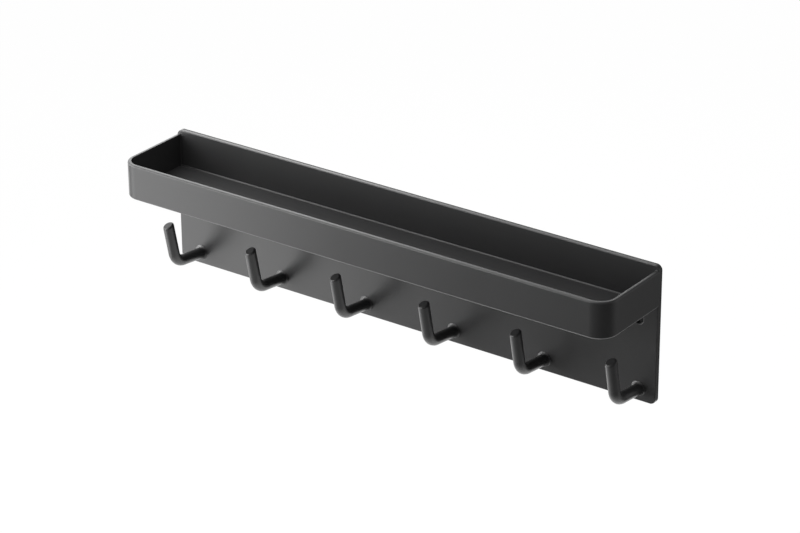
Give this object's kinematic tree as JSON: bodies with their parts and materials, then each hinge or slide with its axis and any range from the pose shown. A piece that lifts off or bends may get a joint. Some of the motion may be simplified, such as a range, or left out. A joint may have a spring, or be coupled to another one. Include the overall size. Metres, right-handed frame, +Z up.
{
  "type": "magnetic key rack",
  "caption": "Magnetic key rack: a long steel wall plate with a shallow tray along its top and a row of bent round-bar hooks along its foot.",
  "frame": {"origin": "middle of the magnet sheet's back face, where the rack holds on to the wall", "axes": "+X along the rack, to the right seen from the front; +Y into the wall; +Z up"},
  "size_m": [0.3, 0.05, 0.075],
  "materials": {
    "coated_steel": "satin black powder coat with a fine grain",
    "magnet_rubber": "matt dark flexible magnet sheet"
  },
  "bodies": {
    "root": {"wall_plate": "coated_steel", "tray_band": "coated_steel", "tray_floor": "coated_steel", "hook_1": "coated_steel", "hook_2": "coated_steel", "hook_3": "coated_steel", "hook_4": "coated_steel", "hook_5": "coated_steel", "hook_6": "coated_steel", "magnet_sheet": "magnet_rubber"}
  },
  "joints": []
}
